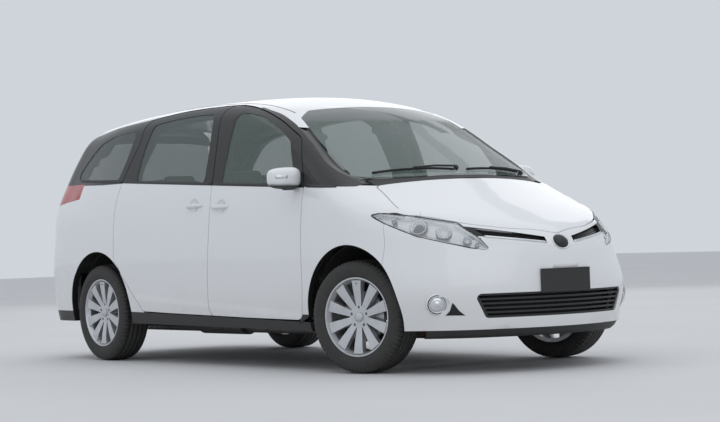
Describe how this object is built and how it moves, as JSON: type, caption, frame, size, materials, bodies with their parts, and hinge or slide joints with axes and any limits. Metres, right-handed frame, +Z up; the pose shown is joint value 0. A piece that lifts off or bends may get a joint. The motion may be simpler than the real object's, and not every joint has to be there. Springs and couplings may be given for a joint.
{
  "type": "minivan",
  "caption": "Family minivan with sliding rear side doors, opening front doors, bonnet and tailgate, steered front wheels and a hollow cabin.",
  "frame": {"origin": "on the ground, below the middle of the vehicle's bounding box", "axes": "+X to the vehicle's left, +Y to its rear (the front faces -Y), +Z up"},
  "size_m": [2.1102, 4.7963, 1.7507],
  "materials": {
    "body_paint": "gloss white clear-coated paint",
    "black_trim": "textured black plastic",
    "gloss_black": "gloss black",
    "bare_structure": "grey primed sheet steel",
    "underbody": "dull black underbody coat",
    "glass_tinted": "green-tinted safety glass",
    "lamp_clear": "clear polycarbonate",
    "lamp_reflector": "bright vacuum-metallised reflector",
    "lamp_red": "red moulded lens",
    "wheel_alloy": "silver lacquered cast alloy",
    "tyre_rubber": "black rubber",
    "iron_parts": "raw cast iron",
    "exhaust_steel": "dull stainless steel",
    "seat_fabric": "dark grey woven cloth",
    "dash_plastic": "soft-touch dark grey plastic"
  },
  "bodies": {
    "body": {"floor_pan": "underbody", "body_frame": "bare_structure", "window_pillars": "gloss_black", "roof_panel": "body_paint", "quarter_panels": "body_paint", "front_wings": "body_paint", "sliding_doors": "body_paint", "front_bumper": "body_paint", "lower_grille": "black_trim", "fog_lamps": "lamp_clear", "rear_bumper": "body_paint", "grille": "black_trim", "headlamps": "lamp_reflector", "headlamp_lenses": "lamp_clear", "tail_lamps": "lamp_red", "windscreen": "glass_tinted", "side_glasses": "glass_tinted", "side_sills": "black_trim", "arch_liners": "black_trim", "front_subframe": "iron_parts", "engine_block": "iron_parts", "rear_axle": "iron_parts", "exhaust": "exhaust_steel", "dashboard": "dash_plastic", "front_seats": "seat_fabric", "middle_seats": "seat_fabric", "rear_seats": "seat_fabric", "cowl": "black_trim"},
    "bonnet": {"bonnet": "body_paint"},
    "front_door_left": {"front_door_left": "body_paint", "door_glass_left": "glass_tinted", "mirror_left": "body_paint"},
    "front_door_right": {"front_door_right": "body_paint", "door_glass_right": "glass_tinted", "mirror_right": "body_paint"},
    "tailgate": {"tailgate": "body_paint", "tailgate_glass": "glass_tinted"},
    "steering_wheel": {"steering_wheel": "dash_plastic"},
    "knuckle_left": {"knuckle_left": "iron_parts"},
    "knuckle_right": {"knuckle_right": "iron_parts"},
    "wheel_front_left": {"tyre_front_left": "tyre_rubber", "wheel_front_left": "wheel_alloy"},
    "wheel_front_right": {"tyre_front_right": "tyre_rubber", "wheel_front_right": "wheel_alloy"},
    "wheel_rear_left": {"tyre_rear_left": "tyre_rubber", "wheel_rear_left": "wheel_alloy"},
    "wheel_rear_right": {"tyre_rear_right": "tyre_rubber", "wheel_rear_right": "wheel_alloy"}
  },
  "joints": [
    {"name": "steer_left", "type": "hinge", "parent": "body", "child": "knuckle_left", "pos_m": [0.727, -1.4715, 0.334], "axis": [0, 0, 1], "range_deg": [-52, 20]},
    {"name": "steer_right", "type": "hinge", "parent": "body", "child": "knuckle_right", "pos_m": [-0.727, -1.4715, 0.334], "axis": [0, 0, 1], "range_deg": [-52, 20]},
    {"name": "steering_wheel_turn", "type": "hinge", "parent": "body", "child": "steering_wheel", "pos_m": [-0.37, -0.51275, 1.00625], "axis": [0, 0.8988, 0.4384], "range_deg": [-780, 300]},
    {"name": "spin_front_left", "type": "hinge", "parent": "knuckle_left", "child": "wheel_front_left", "pos_m": [0.77026, -1.4591, 0.334], "axis": [0.9613, 0.2756, 0], "continuous": true},
    {"name": "spin_front_right", "type": "hinge", "parent": "knuckle_right", "child": "wheel_front_right", "pos_m": [-0.77026, -1.4839, 0.334], "axis": [0.9613, 0.2756, 0], "continuous": true},
    {"name": "spin_rear_left", "type": "hinge", "parent": "body", "child": "wheel_rear_left", "pos_m": [0.772, 1.4785, 0.334], "axis": [1, 0, 0], "continuous": true},
    {"name": "spin_rear_right", "type": "hinge", "parent": "body", "child": "wheel_rear_right", "pos_m": [-0.772, 1.4785, 0.334], "axis": [1, 0, 0], "continuous": true},
    {"name": "door_left_hinge", "type": "hinge", "parent": "body", "child": "front_door_left", "pos_m": [0.888, -0.95573, 0.8], "axis": [0, 0, -1], "range_deg": [0, 65]},
    {"name": "door_right_hinge", "type": "hinge", "parent": "body", "child": "front_door_right", "pos_m": [-0.888, -0.95573, 0.8], "axis": [0, 0, 1], "range_deg": [0, 65]},
    {"name": "bonnet_hinge", "type": "hinge", "parent": "body", "child": "bonnet", "pos_m": [0, -1.403, 1.088], "axis": [-1, 0, 0], "range_deg": [0, 50]},
    {"name": "tailgate_hinge", "type": "hinge", "parent": "body", "child": "tailgate", "pos_m": [0, 1.8045, 1.655], "axis": [1, 0, 0], "range_deg": [0, 80]}
  ],
  "couplings": [
    {"joint": "steer_right", "follows": "steer_left", "ratio": 1},
    {"joint": "steering_wheel_turn", "follows": "steer_left", "ratio": 15}
  ]
}
